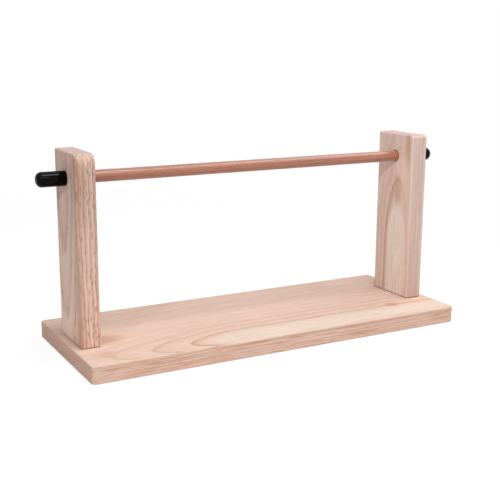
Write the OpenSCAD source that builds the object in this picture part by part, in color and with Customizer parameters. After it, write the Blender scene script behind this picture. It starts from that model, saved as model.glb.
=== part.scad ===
// Tabletop yarn holder: a flat base board, two uprights screwed on from below,
// and a loose rod that turns in them and is kept in by a push-on cap at each end.
// Millimetres. X runs along the base, the front is -Y, and Z is up.
// The origin is the centre of the base's underside.

/* [Base board] */
// Length of the base board
base_length = 330.2; // [240:0.1:460]
// Width of the base board, front to back
base_width = 127; // [90:0.5:200]
// Thickness of the base board
base_thickness = 14; // [10:0.5:22]
// Radius of the four corners, seen from above
base_corner_radius = 3.5; // [2.6:0.1:16]
// Radius of the sanded edges
base_edge_radius = 1.2; // [0.5:0.1:2.5]

/* [Uprights] */
// Height of the whole holder, from the table to the tops of the uprights
overall_height = 160; // [110:1:240]
// Thickness of each upright, along the base
upright_thickness = 15.2; // [12:0.1:24]
// Depth of each upright, front to back
upright_depth = 49; // [38:0.5:80]
// Distance from the end of the base to the outer face of the upright
upright_inset = 6; // [3:0.5:40]
// Radius of the left upright's top corner at the front
left_front_radius = 8; // [2:0.1:14]
// Radius of the right upright's top corner at the front
right_front_radius = 3; // [2:0.1:14]
// Radius of both uprights' top corners at the back
upright_back_radius = 2; // [2:0.1:10]
// Radius of the sanded edges
upright_edge_radius = 1.5; // [0.5:0.1:1.9]

/* [Rod] */
// Diameter of the rod
rod_diameter = 9.5; // [6:0.1:14]
// Distance from the tops of the uprights down to the middle of the rod
rod_drop = 20; // [16:0.5:50]
// Gap all round the rod in its holes, so that it turns freely
rod_hole_clearance = 0.4; // [0.1:0.05:0.7]
// Chamfer on the ends of the rod
rod_end_chamfer = 0.8; // [0.2:0.1:2]

/* [End caps] */
// Length of each cap
cap_length = 22; // [12:0.5:40]
// Thickness of the cap's side wall
cap_wall = 0.95; // [0.8:0.05:2]
// Thickness of the cap's closed end
cap_end_thickness = 3.5; // [2.8:0.1:5]
// Radius that rounds the closed end into the side, up to a full dome
cap_nose_radius = 4.5; // [1:0.1:5.5]
// Gap between the rod and the inside of the cap
cap_fit_clearance = 0.05; // [0.02:0.01:0.08]
// End float between each cap and its upright
cap_end_float = 0.3; // [0.2:0.1:3]
// Chamfer inside the mouth of the cap
cap_mouth_chamfer = 0.4; // [0.2:0.1:0.6]

/* [Screws] */
// Diameter of the screw's shank
screw_diameter = 4; // [3:0.1:5]
// Length of each screw
screw_length = 35; // [26:1:45]
// Diameter of the countersunk head
screw_head_diameter = 8; // [6.5:0.1:9]
// Height of the straight rim round the head
screw_head_rim = 0.5; // [0.2:0.1:1]
// Length of the screw's point
screw_point_length = 5; // [3:0.5:8]
// Distance from the front and back of an upright to its screws
screw_edge_distance = 11; // [7:0.5:14]
// How far the head sits below the underside of the base
screw_recess = 1; // [0.5:0.1:2]
// Gap round the shank in the base and round the head in its countersink
screw_hole_clearance = 0.2; // [0.1:0.05:0.4]
// Gap round the shank in the upright's pilot hole
screw_pilot_clearance = 0.05; // [0.02:0.01:0.1]
// Depth of the pilot hole past the screw's point
screw_pilot_spare = 1; // [0.5:0.5:5]
// Length of each slot of the cross drive
drive_span = 4.4; // [3:0.1:5]
// Width of each slot of the cross drive
drive_width = 0.9; // [0.6:0.1:1.2]
// Depth of the cross drive
drive_depth = 1.6; // [0.8:0.1:1.8]

/* [Hidden] */
$fn = 96;
// How far every cut runs past the surface that it opens
cut_overrun = 1;

// Places that more than one piece follows
upright_face_x = base_length / 2 - upright_inset;
upright_centre_x = upright_face_x - upright_thickness / 2;
upright_height = overall_height - base_thickness;
rod_axis_z = overall_height - rod_drop;
rod_radius = rod_diameter / 2;
rod_hole_radius = rod_radius + rod_hole_clearance;

// End caps and the rod that ends inside them
cap_bore_radius = rod_radius + cap_fit_clearance;
cap_radius = cap_bore_radius + cap_wall;
cap_dome_radius = min(cap_nose_radius, cap_radius);
cap_bore_depth = cap_length - cap_end_thickness;
cap_mouth_x = upright_face_x + cap_end_float;
rod_length = 2 * (cap_mouth_x + cap_bore_depth - cap_fit_clearance);

// Screws
screw_radius = screw_diameter / 2;
screw_head_radius = screw_head_diameter / 2;
screw_head_cone = screw_head_radius - screw_radius;
screw_hole_radius = screw_radius + screw_hole_clearance;
countersink_radius = screw_head_radius + screw_hole_clearance;
pilot_radius = screw_radius + screw_pilot_clearance;
pilot_top_z = screw_recess + screw_length + screw_pilot_spare;
screw_row_y = upright_depth / 2 - screw_edge_distance;

// Colours of the materials
board_colour = "#E0C3B2";
rod_colour = "#B8826B";
cap_colour = "#151516";
screw_colour = "#B9BBBD";

// A point turned about the origin
function turned(point, angle) = [
    point.x * cos(angle) - point.y * sin(angle),
    point.x * sin(angle) + point.y * cos(angle)
];

// A quarter of a disc, with its square corner at the origin
module quarter_disc(radius, quadrant) {
    intersection() {
        circle(r = radius);
        rotate(90 * quadrant) square(radius);
    }
}

// Cross-section of a board from some depth inside it out to its rounded edge.
// It starts at x = 0, and its outermost point is at x = reach.
module eased_section(reach, thickness, ease) {
    translate([0, ease]) square([reach, thickness - 2 * ease]);
    if (reach > ease) {
        square([reach - ease, ease]);
        translate([0, thickness - ease]) square([reach - ease, ease]);
    }
    translate([reach - ease, ease]) quarter_disc(ease, 3);
    translate([reach - ease, thickness - ease]) quarter_disc(ease, 0);
}

// A flat board with rounded corners and every edge eased by sanding.
// Its radii start at the corner at -X -Y and go anticlockwise.
// It is a flat core, four edge strips and four corner wedges, which meet face to face.
module softened_board(length, width, thickness, radii, ease) {
    spans = [length, width, length, width, length];
    core_outline = [
        for (side = [0:3])
            let (left = -spans[side] / 2, near = -spans[side + 1] / 2, radius = radii[side])
                each [
                    turned([left + ease, near + radius], 90 * side),
                    turned([left + radius, near + radius], 90 * side),
                    turned([left + radius, near + ease], 90 * side)
                ]
    ];
    linear_extrude(thickness) polygon(core_outline);
    for (side = [0:3]) {
        left = -spans[side] / 2;
        near = -spans[side + 1] / 2;
        radius = radii[side];
        strip = spans[side] - radius - radii[(side + 1) % 4];
        rotate(90 * side) {
            translate([left + radius, near + ease, 0])
                mirror([0, 1, 0])
                    rotate([90, 0, 90])
                        linear_extrude(strip) eased_section(ease, thickness, ease);
            translate([left + radius, near + radius, 0])
                rotate_extrude(angle = 90, start = 180) eased_section(radius, thickness, ease);
        }
    }
}

// Clearance hole and countersink for one screw, cut up through the base
module countersunk_hole() {
    seat_z = screw_recess + screw_head_rim;
    translate([0, 0, -cut_overrun]) cylinder(r = countersink_radius, h = seat_z + cut_overrun);
    translate([0, 0, seat_z])
        cylinder(r1 = countersink_radius, r2 = screw_hole_radius, h = screw_head_cone);
    cylinder(r = screw_hole_radius, h = base_thickness + cut_overrun);
}

// The places of all four screws, seen from above
module at_each_screw() {
    for (end = [-1, 1], row = [-1, 1])
        translate([end * upright_centre_x, row * screw_row_y, 0]) children();
}

// Base board with a countersunk hole for each screw
module base_board() {
    radii = [for (corner = [0:3]) base_corner_radius];
    color(board_colour)
        difference() {
            softened_board(base_length, base_width, base_thickness, radii, base_edge_radius);
            at_each_screw() countersunk_hole();
        }
}

// One upright: its foot is sawn square, and the rod's hole goes through near its top
module upright(end, front_radius) {
    foot_waste = upright_back_radius + cut_overrun;
    blank_height = upright_height + foot_waste;
    radii = [upright_back_radius, upright_back_radius, upright_back_radius, front_radius];
    saw_depth = upright_depth + 2 * cut_overrun;
    saw_thickness = upright_thickness + 2 * cut_overrun;
    color(board_colour)
        difference() {
            translate([
                end * upright_centre_x - upright_thickness / 2,
                0,
                overall_height - blank_height / 2
            ])
                rotate([90, 0, 90])
                    softened_board(
                        upright_depth, blank_height, upright_thickness, radii, upright_edge_radius
                    );
            translate([
                end * upright_centre_x - saw_thickness / 2,
                -saw_depth / 2,
                base_thickness - foot_waste - cut_overrun
            ])
                cube([saw_thickness, saw_depth, foot_waste + cut_overrun]);
            translate([end * upright_centre_x - saw_thickness / 2, 0, rod_axis_z])
                rotate([0, 90, 0]) cylinder(r = rod_hole_radius, h = saw_thickness);
            for (row = [-1, 1])
                translate([end * upright_centre_x, row * screw_row_y, base_thickness - cut_overrun])
                    cylinder(r = pilot_radius, h = pilot_top_z - base_thickness + cut_overrun);
        }
}

module left_upright() upright(-1, left_front_radius);

module right_upright() upright(1, right_front_radius);

// Rod that the yarn turns on, with chamfered ends inside the caps
module spindle_rod() {
    half = rod_length / 2;
    color(rod_colour)
        translate([0, 0, rod_axis_z])
            rotate([0, 90, 0])
                rotate_extrude()
                    polygon([
                        [0, -half],
                        [rod_radius - rod_end_chamfer, -half],
                        [rod_radius, rod_end_chamfer - half],
                        [rod_radius, half - rod_end_chamfer],
                        [rod_radius - rod_end_chamfer, half],
                        [0, half]
                    ]);
}

// Soft push-on cap with a domed closed end, standing mouth down
module end_cap() {
    dome_start = cap_length - cap_dome_radius;
    flat_radius = cap_radius - cap_dome_radius;
    difference() {
        rotate_extrude() {
            square([cap_radius, dome_start]);
            if (flat_radius > 0) translate([0, dome_start]) square([flat_radius, cap_dome_radius]);
            translate([flat_radius, dome_start]) quarter_disc(cap_dome_radius, 0);
        }
        translate([0, 0, -cut_overrun])
            cylinder(r = cap_bore_radius, h = cap_bore_depth + cut_overrun);
        cylinder(
            r1 = cap_bore_radius + cap_mouth_chamfer, r2 = cap_bore_radius, h = cap_mouth_chamfer
        );
    }
}

module left_end_cap() {
    color(cap_colour)
        translate([-cap_mouth_x, 0, rod_axis_z]) rotate([0, -90, 0]) end_cap();
}

module right_end_cap() {
    color(cap_colour)
        translate([cap_mouth_x, 0, rod_axis_z]) rotate([0, 90, 0]) end_cap();
}

// Countersunk wood screw, driven upwards; its threads aren't modelled
module wood_screw(end, row) {
    seat_z = screw_head_rim + screw_head_cone;
    color(screw_colour)
        translate([end * upright_centre_x, row * screw_row_y, screw_recess])
            difference() {
                rotate_extrude()
                    polygon([
                        [0, 0],
                        [screw_head_radius, 0],
                        [screw_head_radius, screw_head_rim],
                        [screw_radius, seat_z],
                        [screw_radius, screw_length - screw_point_length],
                        [0, screw_length]
                    ]);
                for (turn = [0, 90])
                    rotate(turn)
                        translate([-drive_span / 2, -drive_width / 2, -cut_overrun])
                            cube([drive_span, drive_width, drive_depth + cut_overrun]);
            }
}

module left_front_screw() wood_screw(-1, -1);

module left_back_screw() wood_screw(-1, 1);

module right_front_screw() wood_screw(1, -1);

module right_back_screw() wood_screw(1, 1);

base_board();
left_upright();
right_upright();
spindle_rod();
left_end_cap();
right_end_cap();
left_front_screw();
left_back_screw();
right_front_screw();
right_back_screw();
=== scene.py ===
"""Looks of a wooden yarn holder: a base board, two uprights screwed on from below, and a loose rod
that turns in them and is kept in by a soft black cap at each end.

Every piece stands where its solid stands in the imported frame. Metres, Z up, the front is -Y.
"""

import math
from functools import partial

import bmesh
import bpy
from bpy.props import FloatProperty, FloatVectorProperty, IntProperty, PointerProperty
from mathutils import Euler, Matrix, Vector, noise
from mathutils.geometry import delaunay_2d_cdt


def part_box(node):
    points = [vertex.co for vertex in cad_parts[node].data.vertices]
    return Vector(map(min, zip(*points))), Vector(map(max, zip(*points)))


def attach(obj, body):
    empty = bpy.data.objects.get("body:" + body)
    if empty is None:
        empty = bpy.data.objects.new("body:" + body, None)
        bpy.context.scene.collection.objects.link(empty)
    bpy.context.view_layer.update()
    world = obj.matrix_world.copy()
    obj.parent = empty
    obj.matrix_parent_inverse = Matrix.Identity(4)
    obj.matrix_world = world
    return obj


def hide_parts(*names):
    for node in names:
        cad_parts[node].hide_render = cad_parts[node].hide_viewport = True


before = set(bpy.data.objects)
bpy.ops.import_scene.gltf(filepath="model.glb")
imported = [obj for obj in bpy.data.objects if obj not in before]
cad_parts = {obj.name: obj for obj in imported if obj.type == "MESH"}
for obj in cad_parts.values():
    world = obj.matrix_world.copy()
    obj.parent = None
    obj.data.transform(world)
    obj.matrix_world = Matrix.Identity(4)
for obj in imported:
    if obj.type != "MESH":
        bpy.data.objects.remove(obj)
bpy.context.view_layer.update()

bl_info = {
    "name": "Yarn Holder",
    "version": (1, 0, 0),
    "blender": (4, 5, 0),
    "location": "3D View > Sidebar > Yarn Holder",
    "description": "Builds a wooden yarn holder with a turning rod, round its packed solids",
    "category": "Object",
}

MM = 0.001
SIDES = ("left", "right")
SCREWS = ("left_front_screw", "left_back_screw", "right_front_screw", "right_back_screw")

# A colour Mix node shares its sockets' names with its other types, so they go by number
MIX_FIRST, MIX_SECOND, MIX_RESULT = 6, 7, 2

# How far through a growth ring its late wood is darkest
RING_LINE = 0.95

# Most of a noise texture's values lie between these
MOST_NOISE = (0.3, 0.7)

# Degrees between two faces from which their edge is shown sharp
SHARP_ANGLE = 40


def linear(hex_colour):
    """Turns an sRGB hex colour into the linear RGBA that shaders and properties hold."""
    channels = [int(hex_colour[place : place + 2], 16) / 255 for place in (1, 3, 5)]
    return tuple(c / 12.92 if c <= 0.04045 else ((c + 0.055) / 1.055) ** 2.4 for c in channels) + (1.0,)


def length(name, description, millimetres, lowest=0.0):
    """A length property, given in millimetres and kept in metres."""
    return FloatProperty(
        name=name,
        description=description,
        default=millimetres * MM,
        min=lowest * MM,
        precision=5,
        unit="LENGTH",
    )


def colour(name, description, hex_colour):
    """A colour property, given as an sRGB hex value."""
    return FloatVectorProperty(
        name=name,
        description=description,
        subtype="COLOR",
        size=4,
        min=0.0,
        max=1.0,
        default=linear(hex_colour),
    )


def angle(name, description, radians):
    """A property for one of the camera's angles."""
    return FloatProperty(name=name, description=description, default=radians, precision=5, subtype="ANGLE")


def power(name, description, watts):
    """A property for the power of a lamp."""
    return FloatProperty(name=name, description=description, default=watts, min=0.0, unit="POWER")


class BoardSettings(bpy.types.PropertyGroup):
    """Sizes of the base board and the uprights that their boxes in the frame don't give."""

    base_corner_radius: length("Base Corner", "Radius of the base's corners, seen from above", 3.5)
    base_edge_radius: length("Base Edge", "Radius of the base's sanded edges", 1.2, 0.2)
    left_front_radius: length("Left Front", "Radius of the left upright's top corner at the front", 8)
    right_front_radius: length("Right Front", "Radius of the right upright's top corner at the front", 3)
    upright_back_radius: length("Back Corner", "Radius of an upright's top corner at the back", 2)
    upright_edge_radius: length("Upright Edge", "Radius of the uprights' sanded edges", 1.5, 0.2)
    foot_gap: length("Foot Gap", "Height of the fine gap under the edge of an upright's foot", 0.7)
    foot_inset: length("Foot Inset", "How far that gap runs in under the foot", 2.2)
    hole_chamfer: length("Hole Chamfer", "Chamfer at both mouths of the rod's holes", 0.3)
    sanding: FloatProperty(
        name="Hand Sanding",
        description="How much the radius of a sanded edge varies along it",
        default=0.1,
        min=0.0,
        max=0.3,
        subtype="FACTOR",
    )


class RodSettings(bpy.types.PropertyGroup):
    """Sizes of the rod, its holes and its end caps."""

    end_chamfer: length("Rod Chamfer", "Chamfer on the ends of the rod", 0.8)
    hole_clearance: length("Hole Clearance", "Gap all round the rod in its holes", 0.4)
    cap_wall: length("Cap Wall", "Thickness of a cap's side wall", 0.95, 0.3)
    cap_end: length("Cap End", "Thickness of a cap's closed end", 3.5, 0.3)
    cap_nose_radius: length("Cap Nose", "Radius that rounds a cap's closed end into its side", 4.5)
    cap_lip_radius: length("Cap Lip", "Radius of the outer edge at a cap's mouth", 0.35)
    cap_mouth_chamfer: length("Cap Mouth", "Chamfer inside a cap's mouth", 0.4)
    segments: IntProperty(
        name="Segments",
        description="Facets round the rod, its holes and the caps",
        default=96,
        min=24,
        max=256,
    )


class ScrewSettings(bpy.types.PropertyGroup):
    """Sizes of the four countersunk wood screws and of the holes they stand in."""

    shank: length("Shank", "Diameter of the plain shank and of the thread's crest", 4, 1)
    core: length("Core", "Diameter at the root of the thread", 2.8, 0.5)
    head_rim: length("Head Rim", "Height of the straight rim round the head", 0.5, 0.1)
    plain_shank: length("Plain Shank", "Height above the head where the thread begins", 12, 1)
    pitch: length("Pitch", "Distance from one turn of the thread to the next", 1.8, 0.5)
    point: length("Point", "Length of the point", 5, 1)
    drive_span: length("Drive Span", "Length of each slot of the cross drive", 4.4, 1)
    drive_width: length("Drive Width", "Width of each slot of the cross drive", 0.9, 0.2)
    drive_depth: length("Drive Depth", "Depth of the cross drive", 1.6, 0.2)
    hole_clearance: length("Hole Clearance", "Gap round the screw in the base", 0.2)
    pilot_clearance: length("Pilot Clearance", "Gap round the screw in the upright", 0.05)
    seed: IntProperty(name="Seed", description="Seed for how far each screw is turned", default=7)


class FinishSettings(bpy.types.PropertyGroup):
    """Colours of the wood, the vinyl and the steel."""

    base_pale: colour("Base Wood", "Pale wood of the base board", "#E5CFBF")
    base_blush: colour("Base Blush", "Pinker wood in the base's broad bands", "#E2C4B4")
    base_ring: colour("Base Ring", "Late wood, the line that ends each growth ring", "#C3977D")
    left_pale: colour("Left Wood", "Pale greyish wood of the left upright", "#F2D5C7")
    left_blush: colour("Left Blush", "Browner wood in the left upright's bands", "#D6B09E")
    left_ring: colour("Left Ring", "Late wood in the left upright", "#B98B71")
    right_pale: colour("Right Wood", "Pale pink wood of the right upright", "#F7E4D7")
    right_blush: colour("Right Blush", "Pinker wood in the right upright's bands", "#EED3C7")
    right_ring: colour("Right Ring", "Late wood in the right upright", "#C59A78")
    pore: colour("Pore", "Open pores, short dark flecks along the grain", "#A0755B")
    rod: colour("Rod", "Redder wood of the rod", "#B17459")
    rod_blush: colour("Rod Blush", "Darker bands in the rod", "#A0624A")
    rod_ring: colour("Rod Ring", "Late wood in the rod", "#9A5F47")
    rod_pore: colour("Rod Pore", "Pores in the rod", "#7A4736")
    cap: colour("Cap", "Black vinyl of the end caps", "#050404")
    screw: colour("Screw", "Zinc plating on the screws", "#B9BBBD")


class StudioSettings(bpy.types.PropertyGroup):
    """Camera, lamps and floor."""

    camera_place: FloatVectorProperty(
        name="Camera",
        description="Place of the camera",
        default=(-0.36607, -0.66089, 0.2417),
        precision=5,
        subtype="TRANSLATION",
        unit="LENGTH",
    )
    heading: angle("Heading", "Turn of the view from straight ahead, along +Y, towards +X", 0.502146)
    tilt: angle("Tilt", "Turn of the view below level", 0.224932)
    roll: angle("Roll", "Turn of the camera about its view", 0.005533)
    lens: FloatProperty(
        name="Lens",
        description="Focal length in millimetres, for a sensor 36 mm wide",
        default=66.779,
        min=10.0,
    )
    ambient: FloatProperty(
        name="Ambient", description="Strength of the soft light from all round", default=0.16, min=0.0
    )
    overhead_power: power("Overhead", "Power of the softbox overhead", 10.2)
    right_power: power("Right", "Power of the softbox on the right", 6.8)
    front_power: power("Front", "Power of the strip light at the front", 6.8)
    side_power: power("Side", "Power of the small lamp at the front left", 5.2)


class YarnHolderSettings(bpy.types.PropertyGroup):
    """Everything about the yarn holder that a user would change."""

    boards: PointerProperty(type=BoardSettings)
    rod: PointerProperty(type=RodSettings)
    screws: PointerProperty(type=ScrewSettings)
    finish: PointerProperty(type=FinishSettings)
    studio: PointerProperty(type=StudioSettings)


def add_node(tree, kind, inputs=(), span=(), stops=(), **settings):
    """Adds a node with its settings. Its inputs come in order or by name, or as the only one, and are
    linked where they are a node or a socket, or a list of them. span sets a range's limits, from and
    to, and stops a ramp's places and greys."""
    node = tree.nodes.new(kind)
    # Nodes stand in rows of nine, clear of each other
    row, column = divmod(len(tree.nodes), 9)
    node.location = (190 * column, -300 * row)
    for name, value in settings.items():
        setattr(node, name, value)
    if isinstance(inputs, (bpy.types.Node, bpy.types.NodeSocket)):
        inputs = [inputs]
    inputs = dict(inputs if isinstance(inputs, dict) else enumerate(inputs))
    inputs.update(zip(("From Min", "From Max", "To Min", "To Max"), span))
    for name, value in inputs.items():
        for source in value if isinstance(value, list) else [value]:
            if isinstance(source, bpy.types.Node):
                source = source.outputs[0]
            if isinstance(source, bpy.types.NodeSocket):
                tree.links.new(source, node.inputs[name])
            else:
                node.inputs[name].default_value = source
    for place, level in stops:
        element = node.color_ramp.elements.new(place)
        element.color = (level, level, level, 1.0)
    if stops:
        node.color_ramp.elements.remove(node.color_ramp.elements[0])
        node.color_ramp.elements.remove(node.color_ramp.elements[-1])
    return node


def new_nodes(owner):
    """Empties the node tree of a material or a world, and gives what adds nodes to it."""
    owner.use_nodes = True
    owner.node_tree.nodes.clear()
    return partial(add_node, owner.node_tree)


def millimetre_place(add, centre=(0.0, 0.0, 0.0), turn=(0.0, 0.0, 0.0)):
    """A piece's own coordinates in millimetres, turned, and counted from a centre."""
    inputs = {
        "Vector": add("ShaderNodeTexCoord").outputs["Object"],
        "Location": -Vector(centre),
        "Rotation": turn,
        "Scale": (1 / MM, 1 / MM, 1 / MM),
    }
    return add("ShaderNodeMapping", inputs)


# How a plain board lay in its log. Lengths are millimetres. The pattern's X runs along the grain, and
# its Z out of the face that shows the figure, an arch of rings. Rings count from the arch's own.
PLAIN_CUT = {
    # Turns the piece onto the pattern's axes
    "turn": (0.0, 0.0, 0.0),
    # Rings sideways, and rings for each millimetre through the thickness
    "spread": 6.0,
    "layers": 0.25,
    # How far before the arch's tip the taper ends
    "fall": 300.0,
    # Strength of the fine line that ends a ring, and of the soft darkening that leads up to it
    "line_strength": 0.4,
    "fade_strength": 0.85,
    # Counts over which the bold rings set in, and over which they fade, and what is left of them then
    "bold_from": (-90.0, -80.0),
    "bold_until": (50.0, 51.0),
    "bold_rest": 1.0,
    # What is left of a ring on the side of the arch towards the pattern's Y
    "far_side": 1.0,
    # What is left of the rings and the pores on the face, and of the rings on end grain
    "face_rings": 1.0,
    "face_pores": 1.0,
    "end_rings": 0.45,
    # Blush and brown streaks added below the face, where the edges of a board show them
    "deep_blush": 0.0,
    "deep_streak": 0.0,
    # Roughness between the fibres and on them
    "roughness": (0.72, 0.62),
    "specular": 0.2,
    # Loose fibres that catch the light on a curved side
    "fuzz": 0.0,
    # The colour's level at both ends of a span along the grain. On the left upright it is painted shade,
    # darker towards the top and lighter towards the foot
    "tone": (1.0, 1.0),
    "tone_span": (-100.0, 100.0),
    # Red, green and blue levels below the face: partly the wood's colour there, partly painted shade that
    # sets how light the other sides look beside the face
    "side_tint": (1.0, 1.0, 1.0),
    # Single brown marks, wood flecks and painted shade: place, half length, half width and strength
    "flecks": (),
}

# Each wooden piece's own cut. tip is the point of the arch, and depth how far the heart lies under it.
# taper is the rings lost in each millimetre along the grain. It ends at run behind the tip, and fades
# away past reach on both sides. wander is how far the trunk strays, sideways and through the thickness.
# uneven is how many rings a ring strays, in cells of the given length and width. Pinker wood sets in
# between the counts in blush_from. end_tint gives the red, green and blue levels of end grain.
WOOD_CUTS = {
    "base": dict(
        PLAIN_CUT,
        tip=(-80.7, -50.4, 14.0),
        depth=28.4,
        taper=0.031,
        run=32.0,
        reach=60.0,
        wander=(5.0, 0.4),
        uneven=0.35,
        uneven_cell=(45.0, 12.0),
        seed=3.0,
        line_strength=0.48,
        fade_strength=0.42,
        bold_from=(0.1, 0.35),
        bold_until=(2.4, 3.6),
        bold_rest=0.22,
        end_rings=0.9,
        blush_from=(0.3, 1.0),
        deep_blush=0.3,
        deep_streak=0.8,
        pore_strength=0.14,
        tone=(0.98, 0.97),
        tone_span=(-80.0, 160.0),
        side_tint=(1.04, 1.0, 0.99),
        end_tint=(0.91, 0.86, 0.84),
        flecks=(
            (120.0, -34.0, 14.0, 9.0, 6.0, 0.9),
            (101.0, -28.0, 14.0, 9.0, 2.0, 0.5),
            # Painted shadow on the base beside the left upright's foot
            (-137.0, -10.0, 14.0, 20.0, 13.0, 0.65),
            (-146.0, -42.0, 14.0, 14.0, 8.0, 0.45),
        ),
    ),
    "left_upright": dict(
        PLAIN_CUT,
        turn=(0.0, math.radians(90), 0.0),
        tip=(-159.1, 9.0, 85.0),
        depth=28.0,
        layers=0.2,
        taper=0.02,
        run=38.0,
        fall=70.0,
        reach=30.0,
        wander=(4.0, 0.7),
        uneven=0.9,
        uneven_cell=(14.0, 3.0),
        seed=11.0,
        fade_strength=0.58,
        face_rings=0.8,
        face_pores=0.25,
        blush_from=(2.4, 3.8),
        pore_strength=0.5,
        # Painted shade: the wood darkens towards the top and lightens towards the foot
        tone=(1.08, 0.85),
        tone_span=(-60.0, 50.0),
        side_tint=(0.88, 0.84, 0.82),
        end_tint=(0.86, 0.93, 1.0),
    ),
    "right_upright": dict(
        PLAIN_CUT,
        turn=(0.0, math.radians(90), math.radians(180)),
        tip=(143.9, -6.0, 120.0),
        depth=22.0,
        layers=0.1,
        taper=0.0365,
        run=46.0,
        reach=45.0,
        wander=(4.0, 0.3),
        uneven=0.3,
        uneven_cell=(40.0, 8.0),
        seed=23.0,
        line_strength=0.25,
        bold_from=(0.05, 0.3),
        bold_until=(1.0, 1.4),
        bold_rest=0.3,
        far_side=0.2,
        blush_from=(-0.9, 0.9),
        deep_blush=0.25,
        pore_strength=0.12,
        tone=(1.08, 1.05),
        tone_span=(-40.0, 100.0),
        # Partly the wood, partly painted shade: the sides other than the inner face are kept darker, as if
        # the inner face took more light bounced from the base
        side_tint=(0.75, 0.72, 0.73),
        end_tint=(0.85, 0.87, 0.9),
        flecks=((143.9, -5.0, 110.0, 16.0, 6.0, 0.6), (143.9, -18.0, 149.0, 20.0, 4.5, 0.6)),
    ),
    "rod": dict(
        PLAIN_CUT,
        tip=(-40.0, 0.0, 145.0),
        depth=30.0,
        taper=0.012,
        run=300.0,
        reach=40.0,
        wander=(3.0, 3.0),
        uneven=0.9,
        uneven_cell=(60.0, 3.0),
        seed=31.0,
        blush_from=(-6.0, 6.0),
        deep_streak=0.6,
        pore_strength=0.4,
        roughness=(0.36, 0.3),
        specular=0.7,
        fuzz=0.8,
        end_tint=(0.78, 0.82, 0.86),
    ),
}


def grain_noise(add, place, along, across, seed, detail=2.0, roughness=0.5):
    """Noise in cells drawn out along the grain, with their length and width in millimetres."""
    cells = add("ShaderNodeVectorMath", (place, (1 / along, 1 / across, 1 / across)), operation="MULTIPLY")
    return add(
        "ShaderNodeTexNoise",
        {"Vector": cells, "W": seed, "Scale": 1.0, "Detail": detail, "Roughness": roughness},
        noise_dimensions="4D",
    )


def growth_rings(add, cut, place):
    """The log that a piece was cut from: its coordinates, and the count of rings at any point in it.

    Rings widen away from the heart, and the trunk's taper draws them out into arches."""
    # The trunk wanders a few millimetres to and fro over some 120 mm of its length
    wander = grain_noise(add, place, 120, 40, cut["seed"], roughness=0.45)
    to_and_fro = add(
        "ShaderNodeVectorMath", (wander.outputs["Color"], (0.5, 0.5, 0.5)), operation="SUBTRACT"
    )
    log_place = add(
        "ShaderNodeVectorMath", (to_and_fro, (0.0, *cut["wander"]), place), operation="MULTIPLY_ADD"
    )
    along, aside, out = add("ShaderNodeSeparateXYZ", log_place).outputs
    depth = cut["depth"]
    from_heart = add("ShaderNodeVectorMath", (log_place, (0.0, 0.0, depth)), operation="ADD")
    in_depths = add("ShaderNodeVectorMath", (from_heart, (0.0, 1 / depth, 1 / depth)), operation="MULTIPLY")
    radius = add("ShaderNodeVectorMath", in_depths, operation="LENGTH").outputs["Value"]
    growth = add("ShaderNodeMath", (radius, math.e), operation="LOGARITHM")
    layers = add("ShaderNodeMath", (out, cut["layers"], RING_LINE), operation="MULTIPLY_ADD")
    stacked = add("ShaderNodeMath", (growth, cut["spread"], layers), operation="MULTIPLY_ADD")
    # The taper acts near the face, and sets in and ends over some millimetres of the length
    easing = 18.0
    behind = add("ShaderNodeMath", (along, cut["run"], easing), operation="SMOOTH_MIN")
    within = add("ShaderNodeMath", (behind, -cut["fall"], easing), operation="SMOOTH_MAX")
    reaches = add("ShaderNodeMath", (aside, cut["reach"]), operation="DIVIDE")
    fading = add("ShaderNodeMath", (reaches, reaches, 1.0), operation="MULTIPLY_ADD")
    lean = add("ShaderNodeMath", (within, fading), operation="DIVIDE")
    shallow = add("ShaderNodeMapRange", out, span=(-7.0, -0.5))
    taper = add("ShaderNodeMath", (shallow, -cut["taper"]), operation="MULTIPLY")
    rings = add("ShaderNodeMath", (lean, taper, stacked), operation="MULTIPLY_ADD")
    # A finer unevenness of every ring
    uneven = grain_noise(add, place, *cut["uneven_cell"], cut["seed"] + 1.0)
    centred = add("ShaderNodeMath", (uneven, 0.5), operation="SUBTRACT")
    count = add("ShaderNodeMath", (centred, cut["uneven"], rings), operation="MULTIPLY_ADD")
    return log_place, along, aside, out, count


def ring_boldness(add, cut, count, aside, buried):
    """How strongly each ring shows, from the figure's bold rings to the faint ones beyond them."""
    number = add("ShaderNodeMath", count, operation="FLOOR")
    ring_seed = add("ShaderNodeMath", (number, cut["seed"]), operation="ADD")
    chance = add("ShaderNodeTexWhiteNoise", {"W": ring_seed}, noise_dimensions="1D")
    by_chance = add("ShaderNodeMapRange", chance.outputs["Value"], span=(0.0, 1.0, 0.65, 1.0))
    begun = add("ShaderNodeMapRange", count, span=(*cut["bold_from"], 0.0, 1.0))
    # Below the face the rings show again, as lines on the edges of the board
    shown = add("ShaderNodeMath", (begun, buried), operation="MAXIMUM")
    # The arch's far side sets in over 8 mm from its middle
    near_side = add("ShaderNodeMapRange", aside, span=(0.0, 8.0, 1.0, cut["far_side"]))
    on_face = add("ShaderNodeMapRange", buried, span=(0.0, 1.0, cut["face_rings"], 1.0))
    bold = add("ShaderNodeMapRange", count, span=(*cut["bold_until"], 1.0, cut["bold_rest"]))
    for level in (near_side, on_face, shown, by_chance):
        bold = add("ShaderNodeMath", (bold, level), operation="MULTIPLY")
    return bold


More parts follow.
